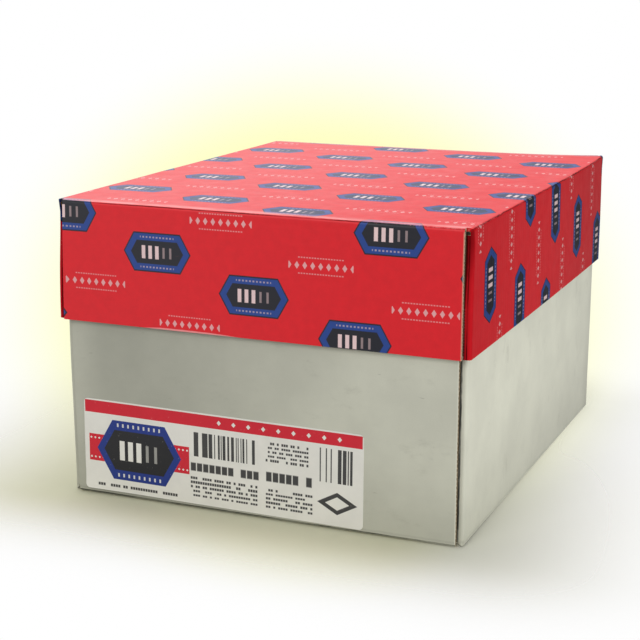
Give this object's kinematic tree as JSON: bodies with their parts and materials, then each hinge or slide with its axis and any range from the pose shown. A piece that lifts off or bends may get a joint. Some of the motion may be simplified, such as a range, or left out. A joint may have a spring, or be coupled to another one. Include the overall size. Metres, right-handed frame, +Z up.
{
  "type": "pack of carbonless paper",
  "caption": "Two-piece corrugated carton with a deep telescoping tray lid and a front label, packed with two stacks of wrapped paper reams.",
  "frame": {"origin": "centre of the carton's footprint, on the surface it stands on", "axes": "+Z up, -Y out of the labelled front, +X to the right of someone facing the label"},
  "size_m": [0.374, 0.463, 0.2668],
  "materials": {
    "base_board": "matte white-lined corrugated board",
    "lid_board": "satin red printed corrugated board",
    "label_paper": "semi-gloss label paper",
    "ream_wrapper": "smooth moisture-proof wrapping paper"
  },
  "bodies": {
    "carton": {"carton_base": "base_board", "label": "label_paper", "ream_01": "ream_wrapper", "ream_02": "ream_wrapper", "ream_03": "ream_wrapper", "ream_04": "ream_wrapper", "ream_05": "ream_wrapper", "ream_06": "ream_wrapper", "ream_07": "ream_wrapper", "ream_08": "ream_wrapper", "ream_09": "ream_wrapper", "ream_10": "ream_wrapper"},
    "lid": {"carton_lid": "lid_board"}
  },
  "joints": [
    {"name": "lid_lift", "type": "slide", "parent": "carton", "child": "lid", "axis": [0, 0, 1], "range_m": [0, 0.15]}
  ]
}
